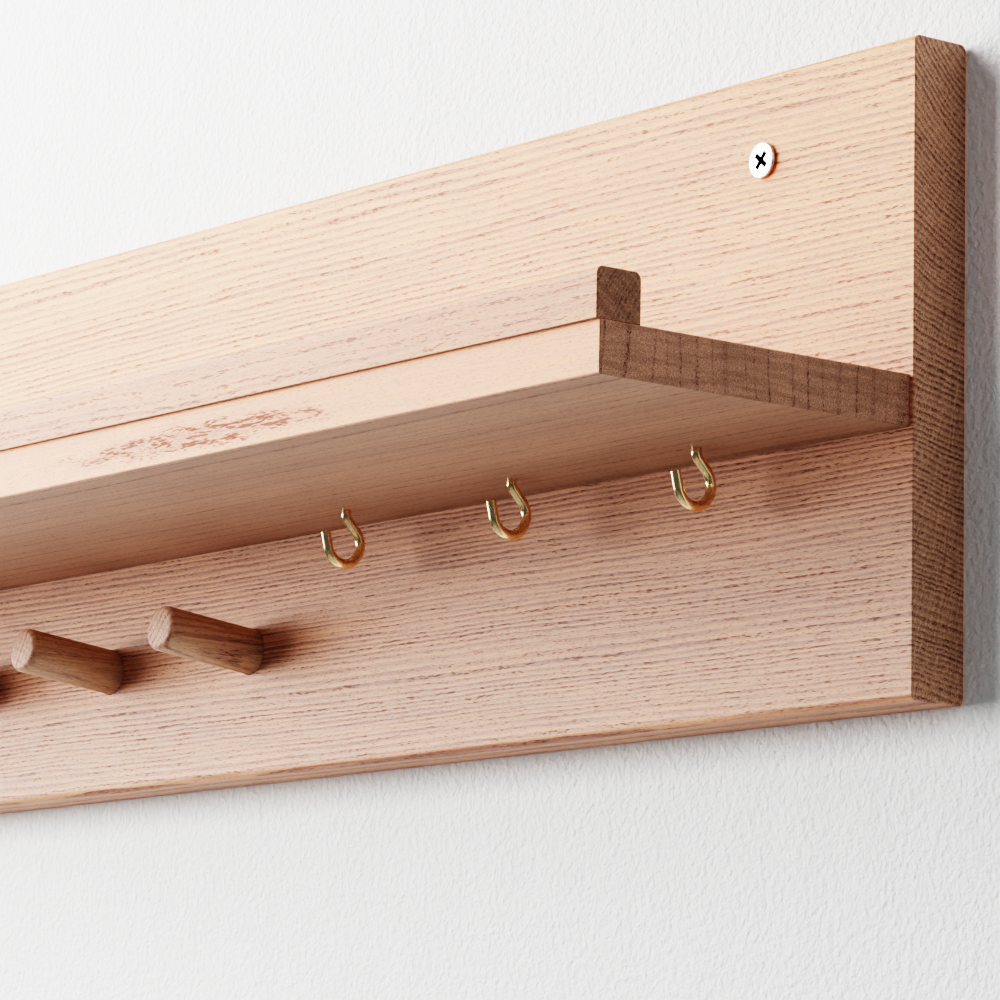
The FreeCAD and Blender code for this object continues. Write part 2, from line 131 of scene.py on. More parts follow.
class HookSettings(bpy.types.PropertyGroup):
    """Sizes of a wire key hook."""

    wire: size("Wire radius", "Half the wire's diameter", 0.00155, high=0.01)
    neck: size("Neck radius", "Radius of the bend below the shelf", 0.003, high=0.02)
    ring: size("Ring radius", "Radius of the hook's ring at the wire's middle", 0.0063, high=0.05)
    ring_drop: size("Ring drop", "Depth of the ring's centre below the shelf", 0.0108, high=0.05)
    ring_front: size("Ring offset", "How far the ring's centre stands before the shank", 0.0004, high=0.05)
    tip: size("Tip", "Length of the straight end after the ring", 0.0053, high=0.05)
    brass: colour("Brass", "Colour of the polished brass", (1.000, 0.740, 0.430))


class ScrewSettings(bpy.types.PropertyGroup):
    """Sizes of the countersunk cross head screws."""

    rim: size("Rim", "Height of the straight rim round the head", 0.0008, high=0.005)
    recess_depth: size("Recess", "Depth of the cross recess", 0.0020, high=0.01)
    pitch: size("Pitch", "Thread pitch", 0.0026, low=0.0005, high=0.01)
    zinc: colour("Zinc", "Colour of the bright zinc plate", (0.620, 0.625, 0.635))


class RoomSettings(bpy.types.PropertyGroup):
    """The wall, the floor and the lights."""

    wall: colour("Wall", "Pale plaster behind the rack", (0.780, 0.780, 0.772))
    floor: colour("Floor", "Pale floor below the rack", (0.420, 0.415, 0.405))
    key: share("Key light", "Power of the large soft light, in watts", 65.0, high=2000.0)
    side: share("Side light", "Power of the weak light from the right, in watts", 9.0, high=2000.0)
    fill: share("Room light", "Strength of the light from all round", 0.10, high=10.0)


# ---------------------------------------------------------------- meshes


def finished(name, bm, nodes, material, sharp=35.0):
    """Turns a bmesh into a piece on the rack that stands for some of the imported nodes."""
    bmesh.ops.remove_doubles(bm, verts=bm.verts, dist=1e-7)
    bmesh.ops.recalc_face_normals(bm, faces=bm.faces)
    mesh = bpy.data.meshes.new(name)
    bm.to_mesh(mesh)
    bm.free()
    mesh.polygons.foreach_set("use_smooth", [True] * len(mesh.polygons))
    mesh.set_sharp_from_angle(angle=math.radians(sharp))
    mesh.materials.append(material)
    piece = bpy.data.objects.new(name, mesh)
    bpy.context.scene.collection.objects.link(piece)
    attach(piece, "root")
    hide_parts(*nodes)
    return piece


def once(parts):
    """Each part once, in the order met, so that every run makes the same mesh."""
    return list(dict.fromkeys(parts))


def open_ring(bm, radius, segments, place=Matrix.Identity(4)):
    """A circle of edges, the start of a swept shape."""
    made = bmesh.ops.create_circle(bm, radius=radius, segments=segments, matrix=place)
    return once(edge for vert in made["verts"] for edge in vert.link_edges)


def edges_of(geometry):
    """The edges in what an operator made."""
    return [part for part in geometry if isinstance(part, bmesh.types.BMEdge)]


def verts_of(geometry):
    """The vertices in what an operator made."""
    return [part for part in geometry if isinstance(part, bmesh.types.BMVert)]


def pull(bm, ring, step, scale=1.0):
    """Extrudes a ring of edges by a step and widens or narrows it about its own middle."""
    made = bmesh.ops.extrude_edge_only(bm, edges=ring)["geom"]
    verts = verts_of(made)
    bmesh.ops.translate(bm, verts=verts, vec=step)
    if scale != 1.0:
        middle = sum((vert.co for vert in verts), Vector()) / len(verts)
        bmesh.ops.scale(bm, verts=verts, vec=(scale,) * 3, space=Matrix.Translation(-middle))
    return [edge for edge in edges_of(made) if all(vert in verts for vert in edge.verts)]


def bend(bm, ring, centre, degrees, steps):
    """Sweeps a ring of edges round an axis along X."""
    made = bmesh.ops.spin(
        bm, geom=ring, cent=centre, axis=(1, 0, 0), angle=math.radians(degrees), steps=steps,
        use_merge=False, use_duplicate=False,
    )
    return edges_of(made["geom_last"])


def close(bm, ring):
    """Fills a ring of edges with one face."""
    bmesh.ops.edgeloop_fill(bm, edges=ring)


def round_cap(bm, ring, direction, bulge):
    """Closes a swept wire with a shallow dome, ring by ring."""
    angles = [math.radians(angle) for angle in (0, 30, 55, 75)]
    for before, after in zip(angles, angles[1:]):
        rise = bulge * (math.sin(after) - math.sin(before))
        ring = pull(bm, ring, direction * rise, math.cos(after) / math.cos(before))
    close(bm, ring)


def thread(bm, core, crest, start, end, pitch, taper_from=None, tip=0.3, steps=24):
    """A raised helical thread round the Z axis, from start down to end, closed at both ends."""
    turns = (start - end) / pitch
    width = pitch * 0.34
    inner = core * 0.86
    corners = ((inner, start), (crest, start - width / 2), (inner, start - width))
    verts = [bm.verts.new((out, 0, high)) for out, high in corners]
    profile = [bm.edges.new((verts[i], verts[(i + 1) % 3])) for i in range(3)]
    before = set(bm.verts)
    made = bmesh.ops.spin(
        bm, geom=verts + profile, cent=(0, 0, 0), axis=(0, 0, 1), dvec=(0, 0, -pitch / steps),
        angle=math.tau * turns, steps=round(steps * turns), use_merge=False, use_duplicate=False,
    )
    close(bm, profile)
    close(bm, edges_of(made["geom_last"]))
    swept = [vert for vert in bm.verts if vert not in before] + verts
    shape_thread(swept, start, end, core, taper_from, tip)


def shape_thread(verts, start, end, core, taper_from, tip):
    """Fades the thread in at its start and lets it follow the screw's point."""
    for vert in verts:
        radius = math.hypot(vert.co.x, vert.co.y)
        run = min(1.0, max(0.0, (start - vert.co.z) / (1.2 * core)))
        wanted = radius if radius < core else core * 0.95 + (radius - core * 0.95) * run
        if taper_from is not None and vert.co.z < taper_from:
            wanted *= 1.0 - (1.0 - tip) * min(1.0, (taper_from - vert.co.z) / (taper_from - end))
        if radius > 0:
            vert.co.x *= wanted / radius
            vert.co.y *= wanted / radius


# ---------------------------------------------------------------- node helpers


class Nodes:
    """Adds nodes to one node tree, a call for each node."""

    def __init__(self, tree):
        self.tree = tree
        self.made = 0

    def add(self, kind, inputs=(), **settings):
        """Adds one node, sets it up and feeds its inputs."""
        node = self.tree.nodes.new("ShaderNode" + kind)
        node.location = (self.made % 8 * 190 - 900, 500 - self.made // 8 * 260)
        self.made += 1
        for name, value in settings.items():
            setattr(node, name, value)
        for key, value in dict(inputs).items():
            self.feed(node.inputs[key], value)
        return node

    def feed(self, socket, value):
        """Links a socket, or sets its value."""
        if isinstance(value, bpy.types.NodeSocket):
            self.tree.links.new(value, socket)
        else:
            socket.default_value = value

    def math(self, operation, first, second=0.0, third=0.0):
        inputs = {0: first, 1: second, 2: third}
        return self.add("Math", inputs, operation=operation).outputs[0]

    def times(self, first, second):
        return self.math("MULTIPLY", first, second)

    def plus(self, first, second):
        return self.math("ADD", first, second)

    def vector(self, operation, first, second=(0.0, 0.0, 0.0)):
        return self.add("VectorMath", {0: first, 1: second}, operation=operation).outputs["Vector"]

    def step(self, value, low, high, start=0.0, end=1.0):
        """A smooth rise from start to end as value goes from low to high."""
        inputs = {"Value": value, "From Min": low, "From Max": high, "To Min": start, "To Max": end}
        return self.add("MapRange", inputs, interpolation_type="SMOOTHSTEP").outputs[0]

    def noise(self, place, stretch, detail=2.0, roughness=0.5):
        """Soft noise whose blobs measure the given stretch along each axis."""
        scaled = self.vector("MULTIPLY", place, tuple(1.0 / length for length in stretch))
        inputs = {"Vector": scaled, "Scale": 1.0, "Detail": detail, "Roughness": roughness}
        return self.add("TexNoise", inputs, noise_dimensions="3D")

    def cells(self, place, stretch):
        """Distance to the middle of the nearest cell, in cells of the given stretch."""
        scaled = self.vector("MULTIPLY", place, tuple(1.0 / length for length in stretch))
        inputs = {"Vector": scaled, "Scale": 1.0, "Randomness": 1.0}
        return self.add("TexVoronoi", inputs, voronoi_dimensions="3D", feature="F1")

    def mix(self, factor, first, second, blend="MIX"):
        node = self.add("Mix", {0: factor, 6: first, 7: second}, data_type="RGBA", blend_type=blend)
        return node.outputs[2]


def opaque(values):
    """A colour with its alpha."""
    return (*values, 1.0)


def new_material(name):
    """An empty material with its output, and the helper that fills it."""
    material = bpy.data.materials.new(name)
    material.use_nodes = True
    material.node_tree.nodes.clear()
    return material, Nodes(material.node_tree)


# ---------------------------------------------------------------- oak


GRAIN_INPUTS = {
    "Place": "Vector", "Ring spacing": "Float", "Band strength": "Float", "Pore strength": "Float",
    "Open patch": "Float", "End face": "Float", "Late wood": "Color", "Early wood": "Color",
    "Pore": "Color", "Ray": "Color", "Face tint": "Color", "End tint": "Color",
}
GRAIN_OUTPUTS = {"Colour": "Color", "Roughness": "Float", "Height": "Float"}


def wavy_place(n, place):
    """Bends the straight grain: slow drift, gentle waves and the small kinks round each pore row."""
    drift = n.noise(place, (420.0, 60.0, 60.0), detail=1.0).outputs["Color"]
    waves = n.noise(place, (60.0, 11.0, 11.0), detail=2.0).outputs["Color"]
    kinks = n.noise(place, (8.0, 1.6, 1.6), detail=2.0).outputs["Color"]
    for offset, reach in ((drift, 9.0), (waves, 2.0), (kinks, 0.60)):
        centred = n.vector("SUBTRACT", offset, (0.5, 0.5, 0.5))
        place = n.vector("ADD", place, n.vector("MULTIPLY", centred, (0.0, reach, reach)))
    return place


def ring_position(n, place, spacing):
    """Distance from the tree's middle, counted in rings, and the angle round it."""
    parts = n.add("SeparateXYZ", {0: place})
    across = n.add("CombineXYZ", {1: parts.outputs[1], 2: parts.outputs[2]})
    radius = n.add("VectorMath", {0: across.outputs[0]}, operation="LENGTH").outputs["Value"]
    inputs = {"W": n.times(radius, 0.07), "Scale": 1.0, "Detail": 1.0}
    uneven = n.add("TexNoise", inputs, noise_dimensions="1D").outputs[0]
    rings = n.plus(n.math("DIVIDE", radius, spacing), n.times(uneven, 2.2))
    angle = n.math("ARCTAN2", parts.outputs[2], parts.outputs[1])
    return rings, radius, angle, parts.outputs[0]


def early_wood(n, rings, spacing, patch):
    """One at the open pore row that starts each ring, which is about a millimetre wide in any ring."""
    phase = n.math("FRACT", rings)
    year = n.add("TexWhiteNoise", {"W": n.math("FLOOR", rings)}, noise_dimensions="1D").outputs["Value"]
    rise = n.step(n.times(phase, spacing), 0.0, 0.2)
    fall = n.step(n.times(phase, spacing), 0.5, 1.5, 1.0, 0.0)
    row = n.times(n.times(rise, fall), n.math("MULTIPLY_ADD", year, 0.5, 0.6))
    return n.math("MAXIMUM", row, patch)


def pore_mask(n, place, early, end):
    """Open pores: thin dashes along the grain on the faces, and a wider scatter of dots on the ends."""
    large = n.cells(place, (3.6, 0.36, 0.36)).outputs["Distance"]
    small = n.cells(place, (2.6, 0.40, 0.40)).outputs["Distance"]
    dots = n.cells(place, (4.0, 0.78, 0.78)).outputs["Distance"]
    crowd = n.noise(place, (13.0, 1.5, 1.5), detail=3.0).outputs[0]
    density = n.times(early, n.step(crowd, 0.38, 0.58, 0.25, 1.0))
    open_rows = n.step(n.math("SUBTRACT", n.times(density, 0.46), large), -0.10, 0.10)
    scattered = n.times(n.step(small, 0.16, 0.36, 1.0, 0.0), 0.5)
    open_ends = n.step(n.math("SUBTRACT", n.times(density, 0.44), dots), -0.09, 0.07)
    faces = n.math("MAXIMUM", open_rows, scattered)
    return n.math("MAXIMUM", faces, n.times(open_ends, end))


def ray_sheets(n, radius, angle, along):
    """Thin sheets that run out from the tree's middle: lines on the ends, flecks on the faces."""
    arc = n.times(angle, 330.0)
    sheet = n.add("CombineXYZ", {0: radius, 1: arc, 2: along})
    return n.noise(sheet.outputs[0], (16.0, 0.75, 3.6), detail=1.0).outputs[0]


def end_grit(n, place, sheets, end):
    """Light and dark of the sawn end: fine open cells and the lines of the rays."""
    grit = n.step(n.noise(place, (1.5, 0.26, 0.26), detail=2.0).outputs[0], 0.34, 0.66, 0.68, 1.24)
    lines = n.step(sheets, 0.36, 0.64, 0.86, 1.13)
    return n.plus(n.times(end, n.math("SUBTRACT", n.times(grit, lines), 1.0)), 1.0)


def oak_colour(n, given, place, early, sheets, pores, fibre):
    """Pale late wood with its pinkish bands, rays and pores, cast to suit the face."""
    rays = n.step(sheets, 0.56, 0.72)
    cloud = n.noise(place, (240.0, 26.0, 26.0), detail=2.0).outputs[0]
    streak = n.noise(place, (45.0, 1.5, 1.5), detail=2.0).outputs[0]
    band = n.times(n.times(early, n.step(streak, 0.30, 0.64, 0.30, 1.0)), given["Band strength"])
    wood = n.mix(band, given["Late wood"], given["Early wood"])
    wood = n.mix(n.times(rays, 0.35), wood, given["Ray"])
    lightness = n.plus(n.step(fibre, 0.30, 0.70, 0.80, 1.17), n.step(cloud, 0.3, 0.7, -0.08, 0.08))
    lightness = n.times(lightness, end_grit(n, place, sheets, given["End face"]))
    wood = n.vector("SCALE", wood)
    n.feed(wood.node.inputs["Scale"], lightness)
    wood = n.mix(pores, wood, given["Pore"])
    tint = n.mix(given["End face"], given["Face tint"], given["End tint"])
    return n.mix(1.0, wood, tint, "MULTIPLY")


def grain_group():
    """The pattern of the oak in millimetres: grain along X, the tree's middle at nought."""
    group = bpy.data.node_groups.new("oak grain", "ShaderNodeTree")
    for way, sockets in (("INPUT", GRAIN_INPUTS), ("OUTPUT", GRAIN_OUTPUTS)):
        for name, kind in sockets.items():
            group.interface.new_socket(name=name, in_out=way, socket_type="NodeSocket" + kind)
    n = Nodes(group)
    given = group.nodes.new("NodeGroupInput").outputs
    place = wavy_place(n, given["Place"])
    rings, radius, angle, along = ring_position(n, place, given["Ring spacing"])
    early = early_wood(n, rings, given["Ring spacing"], given["Open patch"])
    depth = n.math("MAXIMUM", given["Pore strength"], given["Open patch"])
    pores = n.times(pore_mask(n, place, early, given["End face"]), depth)
    sheets = ray_sheets(n, radius, angle, along)
    fibre = n.noise(place, (70.0, 0.55, 0.55), detail=4.0, roughness=0.62).outputs[0]
    wood = oak_colour(n, given, place, early, sheets, pores, fibre)
    satin = n.step(fibre, 0.3, 0.7, -0.04, 0.05)
    roughness = n.plus(n.math("MULTIPLY_ADD", pores, 0.18, 0.48), satin)
    height = n.math("SUBTRACT", n.times(fibre, 0.30), pores)
    made = group.nodes.new("NodeGroupOutput")
    for name, value in zip(GRAIN_OUTPUTS, (wood, roughness, height)):
        n.feed(made.inputs[name], value)
    return group


# Each piece of oak has its own casts: of its lower faces, its upper faces and its sawn ends. The lower
# casts of the backboard, the shelf and the lip are painted shade: the backboard below the shelf, where the
# shelf's shadow falls, the shelf's underside, and the lip's narrow strip along its foot on the shelf, the
# shade in that groove.
CASTS = {
    "board": ((0.77, 0.73, 0.75), (1.04, 0.79, 0.57), (0.68, 0.75, 0.83)),
    "shelf": ((0.66, 0.74, 0.90), (1.18, 0.75, 0.58), (0.50, 0.50, 0.55)),
    "lip": ((0.50, 0.68, 0.82), (0.94, 0.66, 0.53), (0.43, 0.42, 0.41)),
    "peg": ((0.74, 0.88, 1.00), (0.74, 0.88, 1.00), (0.58, 0.58, 0.66)),
}


def face_tint(n, coords, tints, span):
    """The cast of the faces, which drifts from its first tint, painted shade on the lower faces, to its
    second between two heights.
    """
    height = n.add("SeparateXYZ", {0: coords.outputs["Object"]}).outputs[2]
    return n.mix(n.step(height, *span), opaque(tints[0]), opaque(tints[1]))


def grain_place(n, coords, pith, turn):
    """The place in the tree in millimetres, and how far the face looks along the grain."""
    move = n.add("Mapping", {"Vector": coords.outputs["Object"]}, vector_type="TEXTURE")
    move.inputs["Location"].default_value = pith
    move.inputs["Rotation"].default_value = turn
    place = n.vector("SCALE", move.outputs[0])
    place.node.inputs["Scale"].default_value = 1.0 / MM
    facing = n.add("Mapping", {"Vector": coords.outputs["Normal"]}, vector_type="TEXTURE")
    facing.inputs["Rotation"].default_value = turn
    along = n.math("ABSOLUTE", n.add("SeparateXYZ", {0: facing.outputs[0]}).outputs[0])
    return place, along


def oak_material(
    kind, rings, pith, turn=(0.0, 0.0, 0.0), band=1.0, pores=1.0, patch=None, span=(-0.05, 0.06),
):
    """Satin oak. Pith is the tree's middle in metres, turn lays the grain along the piece, and span
    is the pair of heights between which the cast of its faces drifts from its lower cast, painted shade,
    to its upper cast."""
    look = bpy.context.scene.rack_oak
    material, n = new_material("oak " + kind)
    coords = n.add("TexCoord")
    place, along = grain_place(n, coords, pith, turn)
    group = n.add("Group", node_tree=bpy.data.node_groups.get("oak grain") or grain_group())
    inputs = {
        "Place": place, "Ring spacing": rings / MM, "Band strength": band, "Pore strength": pores,
        "Open patch": open_patch(n, coords, patch) if patch else 0.0,
        "End face": n.step(along, 0.45, 0.85), "Ray": opaque(look.ray),
        "Late wood": opaque(look.pale), "Early wood": opaque(look.band), "Pore": opaque(look.pore),
        "Face tint": face_tint(n, coords, CASTS[kind], span), "End tint": opaque(CASTS[kind][2]),
    }
    for key, value in inputs.items():
        n.feed(group.inputs[key], value)
    grain = group.outputs
    bump = n.add("Bump", {"Height": grain["Height"], "Strength": 0.35, "Distance": 0.12 * MM})
    shader = {
        "Base Color": grain["Colour"], "Roughness": grain["Roughness"], "Normal": bump.outputs[0],
        "Specular IOR Level": 0.28,
    }
    finish = n.add("BsdfPrincipled", shader)
    n.add("OutputMaterial", {"Surface": finish.outputs[0]})
    return material


def open_patch(n, coords, patch):
    """A stretch where the cut runs along one pore row, so the row shows as a wide dark patch."""
    centre, reach = patch
    off = n.vector("DIVIDE", n.vector("SUBTRACT", coords.outputs["Object"], centre), reach)
    far = n.add("VectorMath", {0: off}, operation="LENGTH").outputs["Value"]
    ragged = n.noise(n.vector("MULTIPLY", coords.outputs["Object"], (1000.0,) * 3), (14.0, 3.0, 3.0), 3.0)
    return n.step(n.plus(far, n.times(ragged.outputs[0], 1.2)), 1.05, 1.9, 1.4, 0.0)


# ---------------------------------------------------------------- metals and beech


def metal(name, tint, roughness, streak, wear):
    """Polished or plated metal: fine draw marks, duller patches, and painted shade in a screw's cross
    recess.
    """
    material, n = new_material(name)
    coords = n.add("TexCoord")
    place = n.vector("MULTIPLY", coords.outputs["Object"], (1.0 / MM,) * 3)
    marks = n.noise(place, streak, detail=3.0, roughness=0.6).outputs[0]
    clouds = n.noise(place, (2.6, 2.6, 2.6), detail=3.0).outputs[0]
    shade = n.mix(n.step(clouds, 0.3, 0.75), opaque(tint), opaque([value * wear for value in tint]))
    # Painted shade: the faces of a screw's cross recess are darkened to 7 % of the metal's colour,
    # standing in for the shade in the recess.
    recess = n.add("Attribute", attribute_name="recess").outputs["Fac"]
    shade = n.mix(recess, shade, opaque([value * 0.07 for value in tint]))
    rough = n.plus(n.step(clouds, 0.25, 0.8, roughness * 0.75, roughness * 1.6), n.times(marks, 0.05))
    height = n.plus(marks, n.times(clouds, 0.6))
    bump = n.add("Bump", {"Height": height, "Strength": 0.06, "Distance": 0.02 * MM})
    shader = {"Base Color": shade, "Metallic": 1.0, "Roughness": rough, "Normal": bump.outputs[0]}
    finish = n.add("BsdfPrincipled", shader)
    n.add("OutputMaterial", {"Surface": finish.outputs[0]})
    return material


def beech_material():
    """Pale beech of the dowels: short brown flecks in an even pinkish ground."""
    material, n = new_material("beech")
    coords = n.add("TexCoord")
    place = n.vector("MULTIPLY", coords.outputs["Object"], (1.0 / MM,) * 3)
    fibre = n.noise(place, (0.35, 40.0, 0.35), detail=3.0, roughness=0.6).outputs[0]
    flecks = n.cells(place, (0.9, 2.6, 0.5)).outputs["Distance"]
    ground = n.mix(n.step(fibre, 0.3, 0.7), opaque((0.56, 0.36, 0.24)), opaque((0.68, 0.47, 0.33)))
    wood = n.mix(n.step(flecks, 0.08, 0.2, 0.6, 0.0), ground, opaque((0.34, 0.17, 0.09)))
    bump = n.add("Bump", {"Height": fibre, "Strength": 0.3, "Distance": 0.05 * MM})
    finish = n.add("BsdfPrincipled", {"Base Color": wood, "Roughness": 0.62, "Normal": bump.outputs[0]})
    n.add("OutputMaterial", {"Surface": finish.outputs[0]})
    return material


# ---------------------------------------------------------------- pieces


def dress_node(node, material):
    """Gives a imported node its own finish."""
    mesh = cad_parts[node].data
    mesh.materials.clear()
    mesh.materials.append(material)


def peg_mesh(sizes, x):
    """A turned peg with a rounded chamfer at its tip, leaning up out of the backboard."""
    bm = bmesh.new()
    ring = open_ring(bm, sizes.radius, 72, Matrix.Translation((0, 0, -sizes.tenon)))
    close(bm, ring)
    for run in (sizes.tenon, sizes.reach * 0.5, sizes.reach * 0.5):
        ring = pull(bm, ring, Vector((0, 0, run)))
    close(bm, ring)
    bmesh.ops.recalc_face_normals(bm, faces=bm.faces)
    bmesh.ops.bevel(
        bm, geom=ring, offset=sizes.chamfer, affect="EDGES", segments=4, profile=0.5, material=-1,
    )
    lean = Matrix.Rotation(math.radians(90) - sizes.tilt, 4, "X")
    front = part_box("backboard")[0].y
    bmesh.ops.transform(bm, matrix=Matrix.Translation((x, front, sizes.height)) @ lean, verts=bm.verts)
    return bm


def middle_x(node):
    """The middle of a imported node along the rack."""
    low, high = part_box(node)
    return (low.x + high.x) / 2


def hook_shank(bm, wire, rise):
    """The part in the shelf, from its point down to the bare wire under it."""
    core = wire * 0.74
    ring = open_ring(bm, core * 0.35, 28, Matrix.Translation((0, 0, rise)))
    close(bm, ring)
    ring = pull(bm, ring, Vector((0, 0, -3.0 * MM)), 1 / 0.35)
    ring = pull(bm, ring, Vector((0, 0, -rise + 4.0 * MM)))
    ring = pull(bm, ring, Vector((0, 0, -0.5 * MM)), 1 / 0.74)
    ring = pull(bm, ring, Vector((0, 0, -0.5 * MM)))
    return pull(bm, ring, Vector((0, 0, -0.9 * MM)))


def hook_mesh(sizes, node):
    """One wire hook: threaded point, shank, neck bend, open ring and straight tip."""
    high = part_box(node)[1]
    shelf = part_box("shelf")[0].z
    rise = high.z - shelf
    bm = bmesh.new()
    ring = hook_shank(bm, sizes.wire, rise)
    lean = math.radians(NECK_BEND)
    below = -0.9 * MM
    ring = bend(bm, ring, (0, sizes.neck, below), NECK_BEND, 10)
    near = Vector((0, sizes.neck * (1 - math.cos(lean)), below - sizes.neck * math.sin(lean)))
    middle = Vector((0, -sizes.ring_front, -sizes.ring_drop))
    far = middle + sizes.ring * Vector((0, math.cos(lean), math.sin(lean)))
    ring = pull(bm, ring, far - near)
    ring = bend(bm, ring, middle, RING_BEND, 56)
    up = Vector((0, math.sin(math.radians(TIP_WAY)), -math.cos(math.radians(TIP_WAY))))
    cap = 0.35 * MM
    ring = pull(bm, ring, up * (sizes.tip - cap))
    round_cap(bm, ring, up, cap)
    thread(bm, sizes.wire * 0.74, sizes.wire * 0.99, rise - 0.8 * MM, 1.6 * MM, 1.1 * MM, steps=20)
    shank = high.y - sizes.wire - sizes.ring + sizes.ring_front
    bmesh.ops.translate(bm, verts=bm.verts, vec=(middle_x(node), shank, shelf))
    return bm


def screw_face(bm, ring, half_span, half_width, depth):
    """Closes a screw head's rim with its flat face and the cross recess, which narrows to its floor."""
    grid = bmesh.ops.create_grid(bm, x_segments=3, y_segments=3, size=half_span)["verts"]
    for vert in grid:
        for axis in (0, 1):
            if abs(vert.co[axis]) < half_span * 0.9:
                vert.co[axis] = math.copysign(half_width, vert.co[axis])
    faces = once(face for vert in grid for face in vert.link_faces)
    rim = [edge for face in faces for edge in face.edges if edge.is_boundary]
    bmesh.ops.triangle_fill(bm, edges=ring + rim, use_beauty=True, normal=(0, 0, 1))
    middles = {face: face.calc_center_median() for face in faces}
    floor = [face for face in faces if min(abs(middles[face].x), abs(middles[face].y)) < half_width]
    for sink, scale in ((0.25, 0.94), (0.75, 0.72)):
        made = bmesh.ops.extrude_face_region(bm, geom=floor)["geom"]
        bmesh.ops.delete(bm, geom=floor, context="FACES")
        floor = [part for part in made if isinstance(part, bmesh.types.BMFace)]
        verts = once(vert for face in floor for vert in face.verts)
        bmesh.ops.translate(bm, verts=verts, vec=(0, 0, -depth * sink))
        bmesh.ops.scale(bm, verts=verts, vec=(scale, scale, 1.0))
    # Marks the faces of the cross recess, which the metal darkens with painted shade.
    shade = bm.faces.layers.float.new("recess")
    for face in bm.faces:
        face[shade] = float(min(vert.co.z for vert in face.verts) < -1e-6)


def screw_mesh(sizes, head, shank, crest, length, point, thread_from):
    """A countersunk screw with its head's face at the origin and its point down the Z axis."""
    bm = bmesh.new()
    soft = 0.18 * MM
    ring = open_ring(bm, head - soft, 56)
    screw_face(bm, ring, head * 0.56, head * 0.15, sizes.recess_depth)
    ring = pull(bm, ring, Vector((0, 0, -soft * 0.45)), (head - soft * 0.3) / (head - soft))
    ring = pull(bm, ring, Vector((0, 0, -soft * 0.55)), head / (head - soft * 0.3))
    ring = pull(bm, ring, Vector((0, 0, soft - sizes.rim)))
    cone = head - shank
    ring = pull(bm, ring, Vector((0, 0, -cone * 0.8)), (head - cone * 0.8) / head)
    ring = pull(bm, ring, Vector((0, 0, -cone * 0.35)), shank / (head - cone * 0.8))
    down = sizes.rim + cone * 1.15
    ring = pull(bm, ring, Vector((0, 0, down - length + point)))
    ring = pull(bm, ring, Vector((0, 0, -point)), 0.2)
    close(bm, ring)
    thread(
        bm, shank, crest, -thread_from, -length + 1.6 * MM, sizes.pitch,
        taper_from=-length + point, tip=0.25,
    )
    return bm


def stand_screw(bm, node, faces_wall, spin):
    """Turns a screw to its place: its head looks to the room, or to the wall."""
    low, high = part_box(node)
    middle = (low + high) / 2
    head = high.y if faces_wall else low.y
    turn = Matrix.Rotation(math.radians(-90 if faces_wall else 90), 4, "X")
    turn = turn @ Matrix.Rotation(math.radians(spin), 4, "Z")
    place = Matrix.Translation((middle.x, head, middle.z)) @ turn
    bmesh.ops.transform(bm, matrix=place, verts=bm.verts)


# ---------------------------------------------------------------- the room


def one_sided(n, finish):
    """Ends a material of the room, which lets the view through from behind."""
    clear = n.add("BsdfTransparent")
    behind = n.add("NewGeometry").outputs["Backfacing"]
    both = n.add("MixShader", {0: behind, 1: finish.outputs[0], 2: clear.outputs[0]})
    n.add("OutputMaterial", {"Surface": both.outputs[0]})


def wall_material(tint):
    """Matt painted plaster with a fine roller texture."""
    material, n = new_material("painted plaster")
    coords = n.add("TexCoord")
    place = n.vector("MULTIPLY", coords.outputs["Object"], (1.0 / MM,) * 3)
    stipple = n.noise(place, (2.6, 2.6, 2.6), detail=3.0, roughness=0.6).outputs[0]
    trowel = n.noise(place, (28.0, 28.0, 46.0), detail=2.0).outputs[0]
    shade = n.mix(n.step(trowel, 0.3, 0.7), opaque([value * 0.985 for value in tint]), opaque(tint))
    height = n.plus(stipple, n.times(trowel, 0.8))
    bump = n.add("Bump", {"Height": height, "Strength": 1.0, "Distance": 1.2 * MM})
    paint = n.add("BsdfPrincipled", {"Base Color": shade, "Roughness": 0.75, "Normal": bump.outputs[0]})
    one_sided(n, paint)
    return material


def floor_material(tint):
    """Pale floor with soft cloudy variation."""
    material, n = new_material("pale floor")
    coords = n.add("TexCoord")
    clouds = n.noise(coords.outputs["Object"], (0.5, 0.5, 0.5), detail=3.0).outputs[0]
    shade = n.mix(n.step(clouds, 0.3, 0.7), opaque([value * 0.96 for value in tint]), opaque(tint))
    finish = n.add("BsdfPrincipled", {"Base Color": shade, "Roughness": 0.6})
    one_sided(n, finish)
    return material


def stage_plane(name, matrix, half, material):
    """A flat square of the room."""
    bm = bmesh.new()
    bmesh.ops.create_grid(bm, x_segments=1, y_segments=1, size=half, matrix=matrix)
    mesh = bpy.data.meshes.new(name)
    bm.to_mesh(mesh)
    bm.free()
    mesh.materials.append(material)
    plane = bpy.data.objects.new(name, mesh)
    bpy.context.scene.collection.objects.link(plane)
    return plane


def area_light(name, place, target, width, height, power, tint=(1.0, 1.0, 1.0)):
    """A soft light that points from place to target."""
    light = bpy.data.lights.new(name, "AREA")
    light.shape = "RECTANGLE"
    light.size, light.size_y, light.energy, light.color = width, height, power, tint
    lamp = bpy.data.objects.new(name, light)
    way = Vector(target) - Vector(place)
    lamp.matrix_world = Matrix.Translation(place) @ way.to_track_quat("-Z", "Y").to_matrix().to_4x4()
    lamp.visible_camera = False
    bpy.context.scene.collection.objects.link(lamp)


def room_light(strength):
    """Even dim light from all round."""
    world = bpy.data.worlds.new("room")
    world.use_nodes = True
    glow = world.node_tree.nodes["Background"]
    glow.inputs["Color"].default_value = (0.84, 0.97, 1.12, 1.0)
    glow.inputs["Strength"].default_value = strength
    bpy.context.scene.world = world


